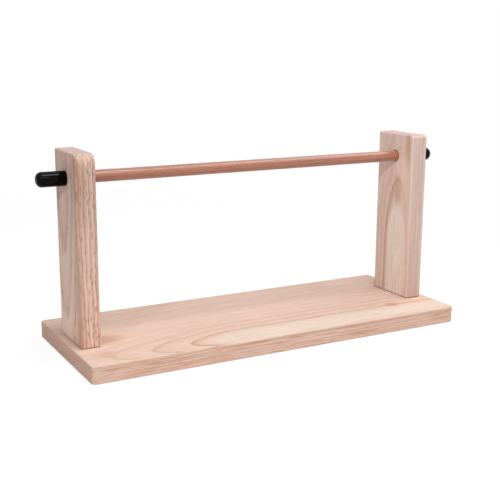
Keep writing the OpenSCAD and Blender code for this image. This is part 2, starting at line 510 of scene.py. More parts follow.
def blush_share(add, cut, count, along, aside, buried):
    """Share of pinker wood, in broad bands a few rings wide, and more of it away from the arch."""
    # A band changes over some two rings, 160 mm along the grain and 60 mm across it
    band_axes = [
        add("ShaderNodeMath", (axis, scale), operation="MULTIPLY")
        for axis, scale in ((count, 0.45), (along, 1 / 160), (aside, 1 / 60))
    ]
    band = add(
        "ShaderNodeTexNoise",
        {
            "Vector": add("ShaderNodeCombineXYZ", band_axes),
            "W": cut["seed"] + 2.0,
            "Scale": 1.0,
            "Detail": 1.0,
        },
        noise_dimensions="4D",
    )
    # Lowers the bands' noise within the arch, and raises it beyond
    outer = add(
        "ShaderNodeMapRange", count, span=(*cut["blush_from"], -0.22, 0.22), interpolation_type="SMOOTHSTEP"
    )
    banded = add("ShaderNodeMath", (band, outer), operation="ADD")
    deeper = add("ShaderNodeMath", (buried, cut["deep_blush"], banded), operation="MULTIPLY_ADD")
    return add("ShaderNodeMapRange", deeper, span=(0.37, 0.63), interpolation_type="SMOOTHSTEP")


def sanded_wood(name, cut, pale, blush, ring, pore):
    """Pale hardwood, sawn, sanded fine and left bare. It gives a matt surface with soft lengthwise
    streaks, growth rings that show as nested arches or stripes, and short dark pores.

    The pattern is solid: it runs through the piece, so that it turns into end grain on the ends."""
    material = bpy.data.materials.new(name)
    add = new_nodes(material)
    turn = Euler(cut["turn"]).to_matrix()
    tip = turn @ Vector(cut["tip"])
    place = millimetre_place(add, tip, cut["turn"])
    log_place, along, aside, out, count = growth_rings(add, cut, place)
    # One from a millimetre under the face on, so on every side but that face
    buried = add("ShaderNodeMapRange", out, span=(-0.1, -1.0))

    # Late wood: a fine line, sharp on its outside, and a soft darkening that leads up to it
    in_ring = add("ShaderNodeMath", count, operation="FRACT")
    line_greys = ((0.0, 0.12), (0.04, 0.0), (0.8, 0.0), (0.92, 0.85), (RING_LINE, 1.0), (0.98, 0.8))
    fade_greys = ((0.0, 0.45), (0.08, 0.1), (0.25, 0.1), (0.45, 0.35), (0.7, 0.7), (0.92, 1.0))
    line = add("ShaderNodeValToRGB", in_ring, stops=(*line_greys, (1.0, 0.12)))
    fade = add("ShaderNodeValToRGB", in_ring, stops=(*fade_greys, (1.0, 0.45)))
    line_mark = add("ShaderNodeMath", (line, cut["line_strength"]), operation="MULTIPLY")
    marks = add("ShaderNodeMath", (fade, cut["fade_strength"], line_mark), operation="MULTIPLY_ADD")
    # Coarser streaks, 2.5 mm wide and some 30 mm long. On the edges of a board they turn browner
    streak = grain_noise(add, log_place, 30, 2.5, cut["seed"] + 4.0)
    brown = add("ShaderNodeMapRange", streak, span=(0.48, 0.66, 0.0, cut["deep_streak"]))
    edge_marks = add("ShaderNodeMath", (brown, buried, marks), operation="MULTIPLY_ADD")
    # End grain: the cut ends of the fibres are a little darker, and blur the rings. It shows where the
    # surface faces along the grain, from a cosine of 0.5 on
    normal = add("ShaderNodeTexCoord").outputs["Normal"]
    grain_way = turn.inverted() @ Vector((1.0, 0.0, 0.0))
    facing = add("ShaderNodeVectorMath", (normal, grain_way), operation="DOT_PRODUCT")
    either_way = add("ShaderNodeMath", facing.outputs["Value"], operation="ABSOLUTE")
    end_grain = add("ShaderNodeMapRange", either_way, span=(0.5, 0.95), interpolation_type="SMOOTHSTEP")
    sharpness = add("ShaderNodeMapRange", end_grain, span=(0.0, 1.0, 1.0, cut["end_rings"]))
    sharp_marks = add("ShaderNodeMath", (edge_marks, sharpness), operation="MULTIPLY")
    bold = ring_boldness(add, cut, count, aside, buried)
    brown_share = add("ShaderNodeMath", (sharp_marks, bold), operation="MULTIPLY", use_clamp=True)

    # Fibres: streaks 0.7 mm wide and some 30 mm long
    fibre = grain_noise(add, place, 30, 0.7, cut["seed"] + 3.0, detail=3.0, roughness=0.6)
    # Pores: one in each cell 9 mm long and 1.6 mm wide, drawn a little coarser than life
    pore_place = add("ShaderNodeVectorMath", (place, (1 / 9, 1 / 1.6, 1 / 1.6)), operation="MULTIPLY")
    pores = add("ShaderNodeTexVoronoi", {"Vector": pore_place, "Scale": 1.0, "Randomness": 1.0})
    pore_mark = add(
        "ShaderNodeMapRange",
        pores.outputs["Distance"],
        span=(0.2, 0.36, 1.0, 0.0),
        interpolation_type="SMOOTHSTEP",
    )
    pore_levels = (cut["pore_strength"] * cut["face_pores"], cut["pore_strength"])
    pore_level = add("ShaderNodeMapRange", buried, span=(0.0, 1.0, *pore_levels))
    pore_share = add("ShaderNodeMath", (pore_mark, pore_level), operation="MULTIPLY")
    # Flecks and painted shade: long ovals that run with the grain, frayed by the fibres
    fraying = 1.2
    for x, y, z, half_length, half_width, strength in cut["flecks"]:
        centre = turn @ Vector((x, y, z)) - tip
        widths = (1 / half_length, 1 / half_width, 1 / half_width)
        offset = add("ShaderNodeVectorMath", (place, centre), operation="SUBTRACT")
        oval = add("ShaderNodeVectorMath", (offset, widths), operation="MULTIPLY")
        reach = add("ShaderNodeVectorMath", oval, operation="LENGTH").outputs["Value"]
        frayed = add("ShaderNodeMath", (fibre, fraying, reach), operation="MULTIPLY_ADD")
        brown_oval = add(
            "ShaderNodeMapRange", frayed, span=(0.9, 1.9, strength, 0.0), interpolation_type="SMOOTHSTEP"
        )
        brown_share = add("ShaderNodeMath", (brown_share, brown_oval), operation="MAXIMUM")

    # Colour: pale wood, blushed, ringed and pored, then streaked, toned and tinted. The brown marks, the
    # tone and the tint also carry painted shade
    wood = pale
    blushed = blush_share(add, cut, count, along, aside, buried)
    for share, other in ((blushed, blush), (brown_share, ring), (pore_share, pore)):
        layer = {"Factor": share, MIX_FIRST: wood, MIX_SECOND: other}
        wood = add("ShaderNodeMix", layer, data_type="RGBA").outputs[MIX_RESULT]
    level = add("ShaderNodeMapRange", fibre, span=(*MOST_NOISE, 0.91, 1.06))
    streak_level = add("ShaderNodeMapRange", streak, span=(*MOST_NOISE, 0.93, 1.05))
    # Level along the grain; on the left upright it is painted shade that lightens towards the foot
    tone_and_shade_level = add("ShaderNodeMapRange", along, span=(*cut["tone_span"], *cut["tone"]))
    for factor in (streak_level, tone_and_shade_level):
        level = add("ShaderNodeMath", (level, factor), operation="MULTIPLY")
    wood = add("ShaderNodeVectorMath", {0: wood, "Scale": level}, operation="SCALE")
    # The sides below the face take their tint, partly the wood's colour and partly painted shade; end grain
    # takes its own tint
    for share, tint in ((buried, cut["side_tint"]), (end_grain, cut["end_tint"])):
        layer = {"Factor": share, MIX_FIRST: wood, MIX_SECOND: (*tint, 1.0)}
        tinted = add("ShaderNodeMix", layer, data_type="RGBA", blend_type="MULTIPLY")
        wood = tinted.outputs[MIX_RESULT]
    # Relief: fibres stand up and pores are open, all within a tenth of a millimetre
    relief = add("ShaderNodeMath", (pore_mark, -0.4, fibre), operation="MULTIPLY_ADD")
    bump = add("ShaderNodeBump", {"Strength": 0.5, "Distance": 0.08 * MM, "Height": relief})
    roughness = add("ShaderNodeMapRange", fibre, span=(*MOST_NOISE, *cut["roughness"]))
    shader = add(
        "ShaderNodeBsdfPrincipled",
        {
            "Base Color": wood,
            "Roughness": roughness,
            "Specular IOR Level": cut["specular"],
            "Sheen Weight": cut["fuzz"],
            "Sheen Roughness": 0.4,
            "Normal": bump,
        },
    )
    add("ShaderNodeOutputMaterial", shader)
    return material


def moulded_vinyl(name, base):
    """Soft black vinyl, dip moulded and glossy, with the faint waviness of a dipped skin."""
    material = bpy.data.materials.new(name)
    add = new_nodes(material)
    place = millimetre_place(add)
    # Dipped skin: soft hollows some 3 mm apart
    skin = add("ShaderNodeTexNoise", {"Vector": place, "Scale": 1 / 3, "Detail": 2.0, "Roughness": 0.4})
    bump = add("ShaderNodeBump", {"Strength": 0.08, "Distance": 0.05 * MM, "Height": skin})
    # Handling dulls it in patches some 6 mm wide
    dull = add("ShaderNodeTexNoise", {"Vector": place, "Scale": 1 / 6, "Detail": 3.0})
    roughness = add("ShaderNodeMapRange", dull, span=(0.35, 0.65, 0.04, 0.09))
    shader = add(
        "ShaderNodeBsdfPrincipled",
        {"Base Color": base, "Roughness": roughness, "Specular IOR Level": 0.08, "Normal": bump},
    )
    add("ShaderNodeOutputMaterial", shader)
    return material


def zinc_plate(name, base):
    """Steel, cold headed and thread rolled, then bright zinc plated: a grey metal, a little cloudy."""
    material = bpy.data.materials.new(name)
    add = new_nodes(material)
    place = millimetre_place(add)
    # Clouds in the plating, some 1.5 mm wide
    cloud = add("ShaderNodeTexNoise", {"Vector": place, "Scale": 1 / 1.5, "Detail": 4.0})
    roughness = add("ShaderNodeMapRange", cloud, span=(*MOST_NOISE, 0.24, 0.42))
    tint = add("ShaderNodeMapRange", cloud, span=(*MOST_NOISE, 0.88, 1.04))
    tinted = add("ShaderNodeVectorMath", {0: base[:3], "Scale": tint}, operation="SCALE")
    bump = add("ShaderNodeBump", {"Strength": 0.2, "Distance": 0.02 * MM, "Height": cloud})
    shader = add(
        "ShaderNodeBsdfPrincipled",
        {"Base Color": tinted, "Metallic": 1.0, "Roughness": roughness, "Normal": bump},
    )
    add("ShaderNodeOutputMaterial", shader)
    return material


def softened_outline(corners, closed):
    """Points along a right-angled outline with rounded corners, each with its outward normal.

    corners are (u, v, radius), anticlockwise. An open outline starts at its first corner and ends
    at its last."""
    straight_step, arc_steps = 5 * MM, 16
    count = len(corners)
    turns = range(count) if closed else range(1, count - 1)
    ways = [
        (Vector(corners[(n + 1) % count][:2]) - Vector(corners[n][:2])).normalized()
        for n in range(count)
    ]
    rows = []
    for n in turns:
        corner, radius = Vector(corners[n][:2]), corners[n][2]
        way_in, way_out = ways[n - 1], ways[n]
        centre = corner - way_in * radius + way_out * radius
        out = Vector((way_in.y, -way_in.x))
        for step in range(arc_steps + 1):
            turned = math.pi / 2 * step / arc_steps
            normal = out * math.cos(turned) + way_in * math.sin(turned)
            rows.append((centre + normal * radius, normal))
    if not closed:
        first, last = Vector(corners[0][:2]), Vector(corners[-1][:2])
        rows = [(first, rows[0][1]), *rows, (last, rows[-1][1])]
    dense = []
    for n, (point, normal) in enumerate(rows):
        dense.append((point, normal))
        if n + 1 == len(rows) and not closed:
            break
        after, normal_after = rows[(n + 1) % len(rows)]
        steps = math.ceil((after - point).length / straight_step)
        on_a_straight = (normal - normal_after).length < 1e-6
        if on_a_straight:
            dense += [(point.lerp(after, step / steps), normal) for step in range(1, steps)]
    return dense


def join_rows(mesh, rows, closed=True):
    """Quads between each row of vertices and the next."""
    for first, second in zip(rows, rows[1:]):
        for n in range(len(first) if closed else len(first) - 1):
            after = (n + 1) % len(first)
            mesh.faces.new((first[n], first[after], second[after], second[n]))


def fill_flat(mesh, loops, normal):
    """Fills a flat outline with triangles, around the round holes in it. The first loop is the
    outline."""
    turn = Vector(normal).rotation_difference(Vector((0, 0, 1))).to_matrix()
    vertices, edges, loop_of = [], [], []
    for number, loop in enumerate(loops):
        start, count = len(vertices), len(loop)
        edges += [(start + n, start + (n + 1) % count) for n in range(count)]
        vertices += loop
        loop_of += [number] * count
    flat = [(turn @ vertex.co).to_2d() for vertex in vertices]
    inside_outline = 1
    _, _, faces, sources, _, _ = delaunay_2d_cdt(flat, edges, [], inside_outline, 0.0)
    for face in faces:
        corners = [sources[n][0] for n in face]
        # A triangle with all its corners on one hole lies within that hole
        if any(loop_of[n] != loop_of[corners[0]] or not loop_of[n] for n in corners):
            mesh.faces.new([vertices[n] for n in corners])


def bored_hole(mesh, place, steps, segments=48):
    """Side of a round hole, ring by ring. steps are (radius, depth), and place turns a point of the
    hole's own space into the board's. Gives the first and the last ring."""
    turns = [2 * math.pi * n / segments for n in range(segments)]
    rings = [
        [mesh.verts.new(place(radius * math.cos(turn), radius * math.sin(turn), depth)) for turn in turns]
        for radius, depth in steps
    ]
    join_rows(mesh, rings)
    return rings[0], rings[-1]


def eased_edge(mesh, outline, thickness, ease, sanding, place, closed=True):
    """The edge of a board: its outline carried from one face to the other with both edges rounded.
    The rounding varies along the edge as hand sanding leaves it. Gives the rings of vertices."""
    steps, wavelength = 10, 18 * MM
    # Lowers the noise, so that sanding mostly takes the radius down
    lowered = 0.6
    # Where the near face reads the noise, in thicknesses. The far face reads it one further on
    near = 0.3
    quarter = [math.pi / 2 * step / steps for step in range(steps + 1)]
    profile = [(1 - math.sin(a), 1 - math.cos(a), 0) for a in quarter]
    profile += [(1 - math.sin(a), 1 - math.cos(a), 1) for a in reversed(quarter)]
    rings = []
    for inset, rise, far in profile:
        ring = []
        for point, normal in outline:
            spot = Vector((*point, thickness * (near + far))) / wavelength
            local = ease * (1 + sanding * (noise.noise(spot) - lowered))
            at = point - normal * local * inset
            height = thickness - local * rise if far else local * rise
            ring.append(mesh.verts.new(place(at.x, at.y, height)))
        rings.append(ring)
    join_rows(mesh, rings, closed)
    return rings


def new_object(name, data):
    """Puts an object with the given data into the scene."""
    item = bpy.data.objects.new(name, data)
    bpy.context.scene.collection.objects.link(item)
    return item


def smooth_faces(data, sharp_angle):
    """Smooth shading, but for edges that turn by more than an angle in degrees."""
    data.shade_smooth()
    data.set_sharp_from_angle(angle=math.radians(sharp_angle))


def baked(piece):
    """Replaces a piece's mesh with its evaluated one, and takes its modifiers off."""
    depsgraph = bpy.context.evaluated_depsgraph_get()
    data = bpy.data.meshes.new_from_object(
        piece.evaluated_get(depsgraph), preserve_all_data_layers=True, depsgraph=depsgraph
    )
    old = piece.data
    piece.modifiers.clear()
    piece.data = data
    data.name = piece.name
    bpy.data.meshes.remove(old)
    return piece


def settled_board(name, mesh, material):
    """Turns a built mesh into a piece with clean normals: flats stay flat beside rounded edges."""
    bmesh.ops.recalc_face_normals(mesh, faces=mesh.faces)
    data = bpy.data.meshes.new(name)
    mesh.to_mesh(data)
    mesh.free()
    data.materials.append(material)
    smooth_faces(data, SHARP_ANGLE)
    piece = new_object(name, data)
    weighted = piece.modifiers.new("Flat faces", "WEIGHTED_NORMAL")
    weighted.keep_sharp = True
    # The larger a face, the more it sets the normals, here as far as it goes
    weighted.weight = 100
    return baked(piece)


def screw_places():
    """The middle of each screw's solid, by its name."""
    boxes = {node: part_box(node) for node in SCREWS}
    return {node: (low + high) / 2 for node, (low, high) in boxes.items()}


def build_base_board(settings):
    """Base board: a flat-sawn board with eased edges and a countersunk hole for each screw."""
    boards, screws, finish = settings.boards, settings.screws, settings.finish
    low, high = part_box("base_board")
    screw_low, screw_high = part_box("left_front_screw")
    places = ((low.x, low.y), (high.x, low.y), (high.x, high.y), (low.x, high.y))
    mesh = bmesh.new()
    rings = eased_edge(
        mesh,
        softened_outline([(*place, boards.base_corner_radius) for place in places], closed=True),
        high.z - low.z,
        boards.base_edge_radius,
        boards.sanding,
        lambda u, v, h: (u, v, low.z + h),
    )
    head = (screw_high.x - screw_low.x) / 2
    wide, narrow = head + screws.hole_clearance, screws.shank / 2 + screws.hole_clearance
    seat = screw_low.z + screws.head_rim
    steps = [(wide, low.z), (wide, seat), (narrow, seat + head - screws.shank / 2), (narrow, high.z)]
    mouths, tops = [], []
    for centre in screw_places().values():
        mouth, top = bored_hole(mesh, lambda u, v, h: (centre.x + u, centre.y + v, h), steps)
        mouths.append(mouth)
        tops.append(top)
    fill_flat(mesh, [rings[0], *mouths], (0, 0, -1))
    fill_flat(mesh, [rings[-1], *tops], (0, 0, 1))
    colours = (finish.base_pale, finish.base_blush, finish.base_ring, finish.pore)
    wood = sanded_wood("Sanded bare hardwood, base", WOOD_CUTS["base"], *colours)
    piece = settled_board("base_board_sanded", mesh, wood)
    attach(piece, "stand")
    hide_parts("base_board")


def build_upright(settings, side):
    """One upright: eased all round but for its foot, which is sawn square, with the rod's hole
    near its top and a pilot hole for each screw."""
    boards, rod, screws, finish = settings.boards, settings.rod, settings.screws, settings.finish
    low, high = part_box(f"{side}_upright")
    rod_low, rod_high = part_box("spindle_rod")
    mesh = bmesh.new()
    corners = [
        (high.y, low.z + boards.foot_gap, 0.0),
        (high.y, high.z, boards.upright_back_radius),
        (low.y, high.z, getattr(boards, f"{side}_front_radius")),
        (low.y, low.z + boards.foot_gap, 0.0),
    ]
    rings = eased_edge(
        mesh,
        softened_outline(corners, closed=False),
        high.x - low.x,
        boards.upright_edge_radius,
        boards.sanding,
        lambda u, v, h: (low.x + h, u, v),
        closed=False,
    )
    # The foot's edge is drawn in under it down to the base, which leaves the fine gap round it
    foot = [ring[-1] for ring in rings] + [ring[0] for ring in reversed(rings)]
    centre = (low + high) / 2
    shrink_x = 1 - 2 * boards.foot_inset / (high.x - low.x)
    shrink_y = 1 - 2 * boards.foot_inset / (high.y - low.y)
    sole = []
    for vertex in foot:
        x = centre.x + (vertex.co.x - centre.x) * shrink_x
        y = centre.y + (vertex.co.y - centre.y) * shrink_y
        sole.append(mesh.verts.new((x, y, low.z)))
    join_rows(mesh, [foot, sole])

    bore = (rod_high.z - rod_low.z) / 2 + rod.hole_clearance
    axis = (rod_low + rod_high) / 2
    chamfer = boards.hole_chamfer
    steps = [(bore + chamfer, low.x), (bore, low.x + chamfer)]
    steps += [(bore, high.x - chamfer), (bore + chamfer, high.x)]
    near_mouth, far_mouth = bored_hole(
        mesh, lambda u, v, h: (h, axis.y + u, axis.z + v), steps, rod.segments
    )
    fill_flat(mesh, [rings[0], near_mouth], (-1, 0, 0))
    fill_flat(mesh, [rings[-1], far_mouth], (1, 0, 0))
    pilot, spare = screws.shank / 2 + screws.pilot_clearance, 1 * MM
    pilots = []
    for node, spot in screw_places().items():
        if node.startswith(side):
            steps = [(pilot, low.z), (pilot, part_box(node)[1].z + spare)]
            mouth, end = bored_hole(mesh, lambda u, v, h: (spot.x + u, spot.y + v, h), steps)
            mesh.faces.new(end)
            pilots.append(mouth)
    fill_flat(mesh, [sole, *pilots], (0, 0, -1))
    colours = [getattr(finish, f"{side}_{part}") for part in ("pale", "blush", "ring")]
    cut = WOOD_CUTS[f"{side}_upright"]
    wood = sanded_wood(f"Sanded bare hardwood, {side} upright", cut, *colours, finish.pore)
    piece = settled_board(f"{side}_upright_sanded", mesh, wood)
    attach(piece, "stand")
    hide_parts(f"{side}_upright")


def new_tree(name, sockets):
    """A geometry-nodes tree with its inputs, listed by kind. Gives the tree, what adds nodes to it, and
    its inputs by name."""
    tree = bpy.data.node_groups.new(name, "GeometryNodeTree")
    for kind, names in sockets.items():
        for socket in names:
            tree.interface.new_socket(name=socket, in_out="INPUT", socket_type=f"NodeSocket{kind}")
    tree.interface.new_socket(name="Geometry", in_out="OUTPUT", socket_type="NodeSocketGeometry")
    add = partial(add_node, tree)
    return tree, add, {socket.name: socket for socket in add("NodeGroupInput").outputs}


def end_tree(add, geometry, material):
    """Ends a geometry-nodes tree: its copies are made real and get their material."""
    whole = add("GeometryNodeRealizeInstances", geometry)
    dressed = add("GeometryNodeSetMaterial", {"Geometry": whole, "Material": material})
    add("NodeGroupOutput", dressed)


def spun_section_tree():
    """Geometry nodes that spin a section about the X axis, as a lathe would turn it. The section's
    points give the place along the axis as X and the radius as Y, in order."""
    name = "Spun section"
    if name in bpy.data.node_groups:
        return bpy.data.node_groups[name]
    tree, add, given = new_tree(
        name, {"Geometry": ["Section"], "Int": ["Segments"], "Vector": ["Axis"], "Material": ["Material"]}
    )
    # A sheet with one row for each point of the section, and one column more than the segments
    size = add("GeometryNodeAttributeDomainSize", given["Section"])
    rows = size.outputs["Point Count"]
    columns = add("ShaderNodeMath", (given["Segments"], 1.0), operation="ADD")
    sheet = add("GeometryNodeMeshGrid", {"Vertices X": columns, "Vertices Y": rows})
    index = add("GeometryNodeInputIndex")
    row = add("ShaderNodeMath", (index, rows), operation="MODULO")
    columns_passed = add("ShaderNodeMath", (index, rows), operation="DIVIDE")
    column = add("ShaderNodeMath", columns_passed, operation="FLOOR")
    part_turn = add("ShaderNodeMath", (column, given["Segments"]), operation="DIVIDE")
    turned = add("ShaderNodeMath", (part_turn, 2 * math.pi), operation="MULTIPLY")
    section = add(
        "GeometryNodeSampleIndex",
        {"Geometry": given["Section"], "Value": add("GeometryNodeInputPosition"), "Index": row},
        data_type="FLOAT_VECTOR",
    )
    along, radius, _ = add("ShaderNodeSeparateXYZ", section).outputs
    spun = [along]
    for wave in ("COSINE", "SINE"):
        share = add("ShaderNodeMath", turned, operation=wave)
        spun.append(add("ShaderNodeMath", (share, radius), operation="MULTIPLY"))
    round_x = add("ShaderNodeCombineXYZ", spun)
    at_axis = add("ShaderNodeVectorMath", (round_x, given["Axis"]), operation="ADD")
    shaped = add("GeometryNodeSetPosition", {"Geometry": sheet, "Position": at_axis})
    # The last column meets the first, and a row on the axis becomes one point
    closed = add("GeometryNodeMergeByDistance", {"Geometry": shaped, "Distance": 0.002 * MM})
    end_tree(add, closed, given["Material"])
    return tree


def threaded_core(add, given, core):
    """Raises a thread on a spun core: a sharp crest that climbs one pitch each turn, fades in where
    it starts, and shrinks with the core towards the point."""
    place = add("GeometryNodeInputPosition")
    height, aside, up = add("ShaderNodeSeparateXYZ", place).outputs
    turned = add("ShaderNodeMath", (aside, up), operation="ARCTAN2")
    part_turn = add("ShaderNodeMath", (turned, 2 * math.pi), operation="DIVIDE")
    pitches = add("ShaderNodeMath", (height, given["Pitch"]), operation="DIVIDE")
    turns = add("ShaderNodeMath", (pitches, part_turn), operation="SUBTRACT")
    phase = add("ShaderNodeMath", turns, operation="FRACT")
    from_crest = add("ShaderNodeMath", (phase, 0.5), operation="SUBTRACT")
    off_crest = add("ShaderNodeMath", from_crest, operation="ABSOLUTE")
    # In pitches: half the width of the crest's top, and of its root
    crest = add("ShaderNodeMapRange", off_crest, span=(0.04, 0.26, 1.0, 0.0))
    start = given["Thread Start"]
    full_height = add("ShaderNodeMath", (start, given["Pitch"]), operation="ADD")
    begun = add("ShaderNodeMapRange", height, span=(start, full_height))
    ray = add("ShaderNodeCombineXYZ", {"Y": aside, "Z": up})
    radius = add("ShaderNodeVectorMath", ray, operation="LENGTH").outputs["Value"]
    share = add("ShaderNodeMath", (radius, given["Core Radius"]), operation="DIVIDE", use_clamp=True)
    shape = add("ShaderNodeMath", (crest, begun), operation="MULTIPLY")
    depth = add("ShaderNodeMath", (share, given["Thread Depth"]), operation="MULTIPLY")
    raised = add("ShaderNodeMath", (shape, depth), operation="MULTIPLY")
    outward = add("ShaderNodeVectorMath", ray, operation="NORMALIZE")
    offset = add("ShaderNodeVectorMath", {0: outward, "Scale": raised}, operation="SCALE")
    return add("GeometryNodeSetPosition", {"Geometry": core, "Offset": offset})


def cross_drive(add, given, screw):
    """Cuts the cross drive into a screw's head: two tapered slots at right angles."""
    # The cutter is a square of side one, twice as long as the drive is deep, and its far end is
    # narrower by this share
    taper = 0.72
    depth = add("ShaderNodeMath", (given["Drive Depth"], 2.0), operation="MULTIPLY")
    cutter = add(
        "GeometryNodeMeshCone",
        {
            "Vertices": 4,
            "Radius Top": math.sqrt(0.5) * taper,
            "Radius Bottom": math.sqrt(0.5),
            "Depth": depth,
        },
    )
    square = add("GeometryNodeTransform", {"Geometry": cutter, "Rotation": (0.0, 0.0, math.radians(45))})
    slots = []
    for span, width in (("Drive Span", "Drive Width"), ("Drive Width", "Drive Span")):
        scale = add("ShaderNodeCombineXYZ", (given[span], given[width], 1.0))
        slots.append(add("GeometryNodeTransform", {"Geometry": square, "Scale": scale}))
    cross = add("GeometryNodeJoinGeometry", {"Geometry": slots})
    down = add("ShaderNodeMath", (given["Drive Depth"], -1.0), operation="MULTIPLY")
    drop = add("ShaderNodeCombineXYZ", {"Z": down})
    lowered = add("GeometryNodeTransform", {"Geometry": cross, "Translation": drop})
    # The slots cross each other, and only the exact solver leaves a closed mesh
    return add(
        "GeometryNodeMeshBoolean",
        {0: screw, 1: lowered, "Self Intersection": True},
        operation="DIFFERENCE",
        solver="EXACT",
    )


def wood_screws_tree():
    """Geometry nodes for the four screws: a spun core, a thread raised on it, a cross drive cut in
    its head, and one copy at each place, turned by a seeded amount."""
    name = "Wood screws"
    if name in bpy.data.node_groups:
        return bpy.data.node_groups[name]
    lengths = ["Pitch", "Thread Depth", "Core Radius", "Thread Start", "Drive Span", "Drive Width"]
    lengths += ["Drive Depth", "Spacing Along", "Spacing Across", "Head Height"]
    tree, add, given = new_tree(
        name,
        {"Geometry": ["Section"], "Int": ["Segments", "Seed"], "Float": lengths, "Material": ["Material"]},
    )
    passed_on = {socket: given[socket] for socket in ("Section", "Segments")}
    core = add("GeometryNodeGroup", passed_on, node_tree=spun_section_tree())
    threaded = threaded_core(add, given, core)
    standing = add(
        "GeometryNodeTransform", {"Geometry": threaded, "Rotation": (0.0, math.radians(-90), 0.0)}
    )
    screw = cross_drive(add, given, standing)
    spacing = {"Size X": given["Spacing Along"], "Size Y": given["Spacing Across"]}
    places = add("GeometryNodeMeshGrid", {**spacing, "Vertices X": 2, "Vertices Y": 2})
    rise = add("ShaderNodeCombineXYZ", {"Z": given["Head Height"]})
    raised = add("GeometryNodeSetPosition", {"Geometry": places, "Offset": rise})
    turn = add(
        "FunctionNodeRandomValue",
        {"Min": (0.0, 0.0, 0.0), "Max": (0.0, 0.0, 2 * math.pi), "Seed": given["Seed"]},
        data_type="FLOAT_VECTOR",
    )
    copies = add("GeometryNodeInstanceOnPoints", {"Points": raised, "Instance": screw, "Rotation": turn})
    end_tree(add, copies, given["Material"])
    return tree


def grown_piece(name, points, tree, values, sharp_angle=SHARP_ANGLE):
    """Runs a geometry-nodes tree on a section's points and keeps the result as a plain mesh."""
    data = bpy.data.meshes.new(name)
    data.from_pydata([(along, radius, 0.0) for along, radius in points], [], [])
    piece = new_object(name, data)
    modifier = piece.modifiers.new(tree.name, "NODES")
    modifier.node_group = tree
    for item in tree.interface.items_tree:
        if item.in_out == "INPUT" and item.name in values:
            modifier[item.identifier] = values[item.name]
    baked(piece)
    mesh = bmesh.new()
    mesh.from_mesh(piece.data)
    many_sided = [face for face in mesh.faces if len(face.verts) > 4]
    bmesh.ops.triangulate(mesh, faces=many_sided, ngon_method="BEAUTY")
    bmesh.ops.dissolve_degenerate(mesh, edges=mesh.edges, dist=0.001 * MM)
    bmesh.ops.recalc_face_normals(mesh, faces=mesh.faces)
    mesh.to_mesh(piece.data)
    mesh.free()
    smooth_faces(piece.data, sharp_angle)
    return piece


def arc(centre, radius, start, end, steps):
    """Points on an arc, as (along, radius) pairs. Angles are in degrees from the +along way."""
    angles = [math.radians(start + (end - start) * step / steps) for step in range(steps + 1)]
    return [(centre[0] + radius * math.cos(a), centre[1] + radius * math.sin(a)) for a in angles]


def build_rod(settings):
    """The rod: a straight dowel with chamfered ends."""
    finish = settings.finish
    low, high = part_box("spindle_rod")
    chamfer, radius = settings.rod.end_chamfer, (high.z - low.z) / 2
    section = [
        (low.x, 0.0),
        (low.x, radius - chamfer),
        (low.x + chamfer, radius),
        (high.x - chamfer, radius),
        (high.x, radius - chamfer),
        (high.x, 0.0),
    ]
    colours = (finish.rod, finish.rod_blush, finish.rod_ring, finish.rod_pore)
    values = {
        "Segments": settings.rod.segments,
        "Axis": (0.0, (low.y + high.y) / 2, (low.z + high.z) / 2),
        "Material": sanded_wood("Sanded bare dowel", WOOD_CUTS["rod"], *colours),
    }
    piece = grown_piece("rod_sanded", section, spun_section_tree(), values)
    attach(piece, "rod")
    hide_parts("spindle_rod")


def build_cap(settings, side, vinyl):
    """One end cap: a thin vinyl sleeve with a rounded closed end, pushed over the rod's end."""
    rod = settings.rod
    low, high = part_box(f"{side}_end_cap")
    way, mouth, tip = (1, low.x, high.x) if side == "right" else (-1, high.x, low.x)
    outer = (high.z - low.z) / 2
    inner = outer - rod.cap_wall
    nose, lip, flare = rod.cap_nose_radius, rod.cap_lip_radius, rod.cap_mouth_chamfer
    nose_steps, lip_steps = 20, 6
    # Along the cap from its mouth: the section runs from the nose's centre round to the bore's end
    full_length = abs(tip - mouth)
    bore_length = full_length - rod.cap_end
    section = [(full_length, 0.0), *arc((full_length - nose, outer - nose), nose, 0, 90, nose_steps)]
    section += arc((lip, outer - lip), lip, 90, 180, lip_steps)
    section += [(0.0, inner + flare), (flare, inner), (bore_length, inner), (bore_length, 0.0)]
    section = [(mouth + way * along, radius) for along, radius in section]
    values = {
        "Segments": rod.segments,
        "Axis": (0.0, (low.y + high.y) / 2, (low.z + high.z) / 2),
        "Material": vinyl,
    }
    piece = grown_piece(f"{side}_cap_moulded", section, spun_section_tree(), values)
    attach(piece, f"{side}_cap")
    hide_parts(f"{side}_end_cap")


